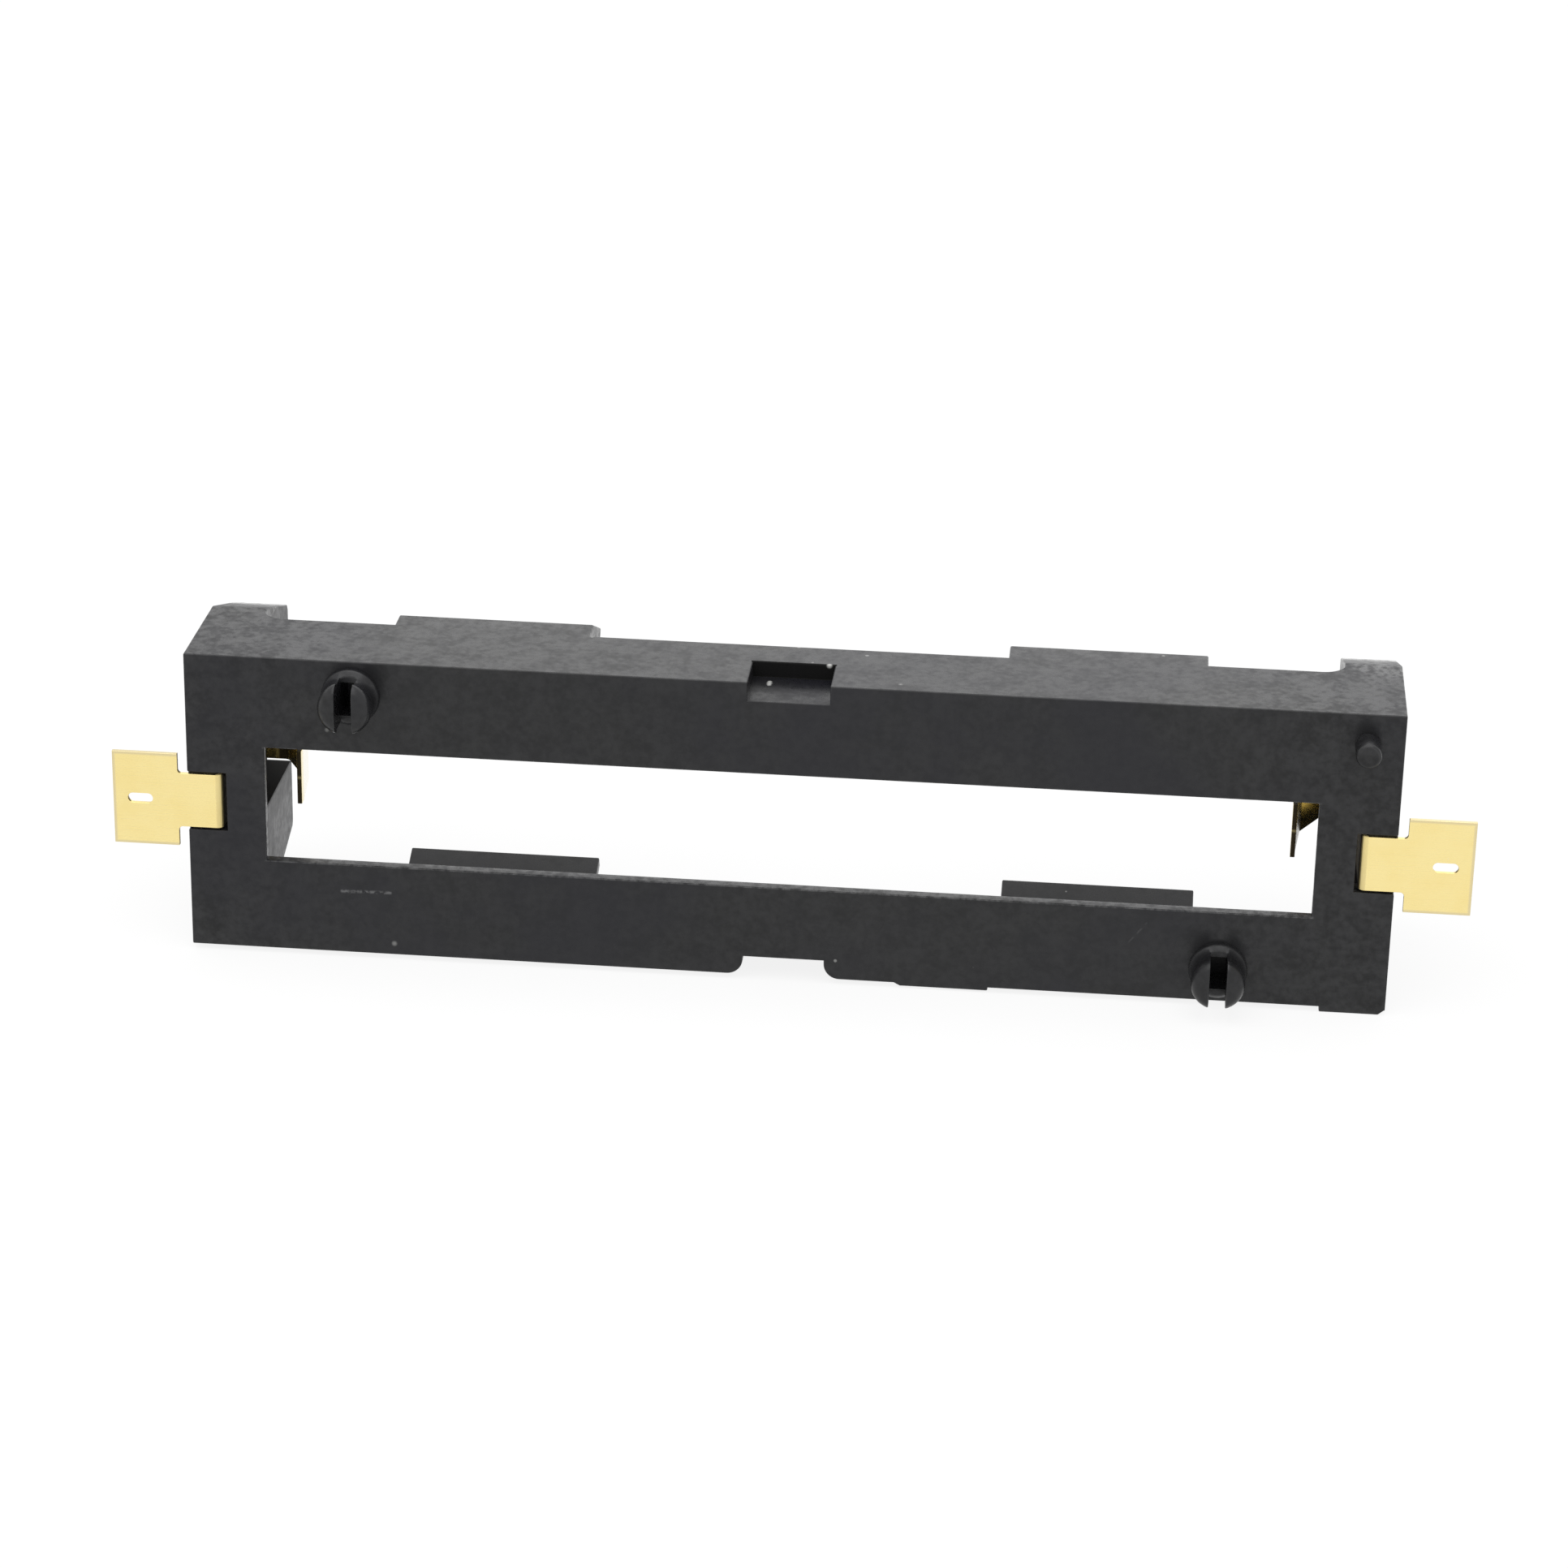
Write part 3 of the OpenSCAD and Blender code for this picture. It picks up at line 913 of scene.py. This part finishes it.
@dataclass(frozen=True)
class PaleFloor:
    """Plain white table top: bright to the camera and in reflections, with the holder's soft shadow."""

    name: str = "pale_floor"
    pale: Colour = (0.95, 0.95, 0.95)
    paler: Colour = (0.97, 0.97, 0.97)
    grain: float = 2.0 * MM
    patch: float = 60.0 * MM
    glow: float = 0.86
    shadow_share: float = 0.16

    def material(self) -> bpy.types.Material:
        """Build the finish, which shows on its front side only and lets light through.

        Returns:
            The floor's material.
        """
        material = bpy.data.materials.new(self.name)
        material.use_nodes = True
        sheet = NodeSheet(material.node_tree)
        material.node_tree.nodes.remove(material.node_tree.nodes["Principled BSDF"])
        outlet = material.node_tree.nodes["Material Output"]
        patches = SurfaceGrain().on(sheet, Grain=self.grain, Patch=self.patch)["Patches"]
        paper = sheet.blend(patches, self.pale, self.paler)

        diffuse = sheet.add("ShaderNodeBsdfDiffuse")
        sheet.feed(diffuse.inputs["Color"], sheet.blend(self.shadow_share, BLACK, paper))
        glow = sheet.add("ShaderNodeEmission")
        glow.inputs["Strength"].default_value = self.glow
        table = sheet.add("ShaderNodeAddShader")
        sheet.feed(table.inputs[0], diffuse.outputs[0])
        sheet.feed(table.inputs[1], glow.outputs[0])

        front = sheet.math("SUBTRACT", 1.0, sheet.add("ShaderNodeNewGeometry").outputs["Backfacing"])
        either = sheet.add("ShaderNodeMixShader")
        sheet.feed(either.inputs[0], sheet.times(front, seen_rays(sheet)))
        sheet.feed(either.inputs[1], sheet.add("ShaderNodeBsdfTransparent").outputs[0])
        sheet.feed(either.inputs[2], table.outputs[0])
        sheet.feed(outlet.inputs["Surface"], either.outputs[0])
        return material


def seen_rays(sheet: NodeSheet) -> bpy.types.NodeSocket:
    """Tell the rays that show the background from those that only light the holder.

    Args:
        sheet: the sheet of the floor's material or of the world.

    Returns:
        A socket that is 1 for camera, glossy and transmission rays.
    """
    path = sheet.add("ShaderNodeLightPath")
    seen = sheet.most(path.outputs["Is Camera Ray"], path.outputs["Is Glossy Ray"])
    return sheet.most(seen, path.outputs["Is Transmission Ray"])


@dataclass
class RoundedSolid:
    """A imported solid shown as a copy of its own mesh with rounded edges."""

    node: str
    piece_name: str
    slot: Slot
    edge_r: float
    finish: Finish
    weld: float = 0.0001 * MM
    flat_deg: float = 0.4

    # An outer edge sharper than the crease is rounded. The slant tells neighbours that cross it from
    # those that run on, and the room is the length, in roundings, that it needs beside an inner corner.
    crease_deg: float = 32.0
    crossing_slant: float = 0.7
    inner_deg: float = 20.0
    inner_room: float = 2.0
    rounding_steps: int = 2
    rounding_profile: float = 0.5
    shade_deg: float = 50.0
    normal_weight: int = 100

    def build(self) -> bpy.types.Object:
        """Make the piece and place it in the frame.

        Returns:
            The new piece.
        """
        mesh = self.rounded_mesh()
        piece = bpy.data.objects.new(self.piece_name, mesh)
        bpy.context.scene.collection.objects.link(piece)
        self.dress(piece)
        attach(piece, BODY)
        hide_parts(self.node)
        return piece

    def dress(self, piece: bpy.types.Object) -> None:
        """Give the piece its finish and even shading.

        Args:
            piece: the new piece.
        """
        piece.data.materials.append(self.finish.material())
        normals = piece.modifiers.new("even_normals", "WEIGHTED_NORMAL")
        normals.keep_sharp = True
        normals.weight = self.normal_weight

    def rounded_mesh(self) -> bpy.types.Mesh:
        """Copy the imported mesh, clear its flat faces of cuts and round its edges.

        Returns:
            The finished mesh, with the rubbed-edge mask on its points.
        """
        shape = bmesh.new()
        shape.from_mesh(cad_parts[self.node].data)
        bmesh.ops.remove_doubles(shape, verts=shape.verts, dist=self.weld)
        flat = math.radians(self.flat_deg)
        bmesh.ops.dissolve_limit(shape, angle_limit=flat, verts=shape.verts, edges=shape.edges)
        outer = [edge for edge in shape.edges if self.takes_rounding(edge)]
        rounding = bmesh.ops.bevel(
            shape, geom=outer, affect="EDGES", offset=self.edge_r, offset_type="OFFSET",
            segments=self.rounding_steps, profile=self.rounding_profile,
            clamp_overlap=False, loop_slide=False,
        )
        self.mark_edges(shape, set(rounding["faces"]))
        for face in shape.faces:
            face.smooth = True
        for edge in shape.edges:
            edge.smooth = not edge.is_manifold or edge.calc_face_angle() < math.radians(self.shade_deg)
        mesh = bpy.data.meshes.new(self.piece_name)
        shape.to_mesh(mesh)
        shape.free()
        return mesh

    def takes_rounding(self, edge: bmesh.types.BMEdge) -> bool:
        """Tell whether an edge stands out sharply and has room for its rounding.

        Args:
            edge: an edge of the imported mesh.

        Returns:
            True for an outer edge, unless it runs along or across a strip narrower than the rounding,
            or is a short edge beside an inner corner.
        """
        if not self.stands_out(edge):
            return False
        run = (edge.verts[1].co - edge.verts[0].co).normalized()
        for other in {other for vert in edge.verts for other in vert.link_edges} - {edge}:
            slant = abs((other.verts[1].co - other.verts[0].co).normalized().dot(run))
            along = other.calc_length() < self.edge_r
            across = edge.calc_length() < self.edge_r and self.stands_out(other)
            if slant < self.crossing_slant and (along or across):
                return False
            inner = not other.is_convex and other.calc_face_angle() > math.radians(self.inner_deg)
            if inner and edge.calc_length() < self.inner_room * self.edge_r:
                return False
        return True

    def stands_out(self, edge: bmesh.types.BMEdge) -> bool:
        """Tell whether an edge is an outer corner of the solid."""
        return edge.is_convex and edge.calc_face_angle() > math.radians(self.crease_deg)

    def mark_edges(self, shape: bmesh.types.BMesh, rounding: set[bmesh.types.BMFace]) -> None:
        """Write the mask of outer rounded edges: 1 along their middle, 0 elsewhere.

        Args:
            shape: the mesh after its edges were rounded.
            rounding: the faces that the rounding made.
        """
        mask = shape.verts.layers.float.new(EDGE_RUB)
        shape.normal_update()
        for vert in shape.verts:
            if not rounding.issuperset(vert.link_faces):
                continue
            steps = [(edge.other_vert(vert).co - vert.co).normalized() for edge in vert.link_edges]
            vert[mask] = 1.0 if sum(steps, Vector()).dot(vert.normal) < 0.0 else 0.0


@dataclass
class Housing(RoundedSolid):
    """The one-piece moulding: frame, cradle, end blocks, clips and pegs."""

    node: str = "housing"
    piece_name: str = "housing_moulding"
    slot: Slot = Slot.BLACK_PLASTIC
    edge_r: float = 0.09 * MM
    finish: Finish = field(default_factory=MouldedPlastic)


@dataclass
class Contact(RoundedSolid):
    """A folded sheet contact at one end: solder tab, neck, upright strip and sprung leaf."""

    end: End = End.POSITIVE
    node: str = ""
    piece_name: str = ""
    slot: Slot = Slot.GOLD_PLATE
    edge_r: float = 0.035 * MM
    finish: Finish = field(default_factory=GoldPlate)

    def __post_init__(self) -> None:
        """Take the names from the end that the contact stands at."""
        self.node = self.end.value
        self.piece_name = f"{self.end.value}_sheet"


@dataclass(frozen=True)
class Lamp:
    """A large soft lamp: where it hangs and the length of its sides in metres, and its power."""

    name: str
    at: Point
    side: float
    watts: float

    def hang(self) -> None:
        """Hang the lamp so that it points at the holder."""
        data = bpy.data.lights.new(self.name, "AREA")
        data.shape = "SQUARE"
        data.size = self.side
        data.energy = self.watts
        lamp = bpy.data.objects.new(self.name, data)
        lamp.visible_camera = False
        bpy.context.scene.collection.objects.link(lamp)
        lamp.location = self.at
        lamp.rotation_euler = (-Vector(self.at)).to_track_quat("-Z", "Y").to_euler()


@dataclass
class Studio:
    """Camera, soft light, white surround and pale floor."""

    camera_at: Point = (21.14 * MM, -108.96 * MM, -254.46 * MM)
    camera_aim: Point = (-0.1663 * MM, -3.3127 * MM, 0.0)
    camera_up: Point = (0.0, -1.0, 0.0)
    camera_roll_deg: float = 1.21
    camera_nearest: float = 10.0 * MM
    lens_mm: float = 101.1
    sensor_mm: float = 36.0
    surround_light: float = 0.7
    lamps: tuple[Lamp, ...] = (
        Lamp("overhead_lamp", (-0.05, -0.5, -0.12), 0.7, 1.8),
        Lamp("back_lamp", (0.1, -0.26, 0.55), 0.5, 0.3),
    )
    floor_half: float = 0.9
    floor_gap: float = 0.01 * MM
    floor_finish: PaleFloor = field(default_factory=PaleFloor)

    def build(self) -> None:
        """Set the stage up in order."""
        self.camera()
        for lamp in self.lamps:
            lamp.hang()
        self.surround()
        self.floor()
        bpy.context.scene.view_settings.view_transform = "Standard"

    def camera(self) -> None:
        """Stand the camera where the photograph was taken from."""
        data = bpy.data.cameras.new("camera")
        data.lens = self.lens_mm
        data.sensor_width = self.sensor_mm
        data.clip_start = self.camera_nearest
        camera = bpy.data.objects.new("camera", data)
        bpy.context.scene.collection.objects.link(camera)
        at = Vector(self.camera_at)
        look = (Vector(self.camera_aim) - at).normalized()
        right = look.cross(Vector(self.camera_up)).normalized()
        axes = Matrix((right, right.cross(look), -look)).transposed().to_4x4()
        roll = Matrix.Rotation(math.radians(self.camera_roll_deg), 4, "Z")
        camera.matrix_world = Matrix.Translation(at) @ axes @ roll
        bpy.context.scene.camera = camera

    def surround(self) -> None:
        """Surround the holder with white, which lights it at a plain level."""
        world = bpy.data.worlds.new("white_surround")
        world.use_nodes = True
        bpy.context.scene.world = world
        sheet = NodeSheet(world.node_tree)
        background = world.node_tree.nodes["Background"]
        sheet.feed(background.inputs["Color"], WHITE)
        strength = sheet.ramp(seen_rays(sheet), RISING, (self.surround_light, 1.0))
        sheet.feed(background.inputs["Strength"], strength)

    def floor(self) -> None:
        """Lay the floor against the long side that the holder stands on in the photograph."""
        side = CAD_BOX[1].y + self.floor_gap
        half = self.floor_half
        shape = bmesh.new()
        corners = [(-half, side, -half), (half, side, -half), (half, side, half), (-half, side, half)]
        shape.faces.new([shape.verts.new(corner) for corner in corners])
        shape.normal_update()
        mesh = bpy.data.meshes.new("pale_floor")
        shape.to_mesh(mesh)
        shape.free()
        mesh.materials.append(self.floor_finish.material())
        floor = bpy.data.objects.new("pale_floor", mesh)
        bpy.context.scene.collection.objects.link(floor)


def main() -> None:
    """Build the holder and its stage, and report each piece."""
    logging.basicConfig(level=logging.INFO, format="%(name)s: %(message)s")
    for solid in (Housing(), Contact(end=End.POSITIVE), Contact(end=End.NEGATIVE)):
        piece = solid.build()
        LOG.info("%s stands for %s with %d faces", piece.name, solid.node, len(piece.data.polygons))
    Studio().build()
    LOG.info("stage is set")


if __name__ == "__main__":
    main()
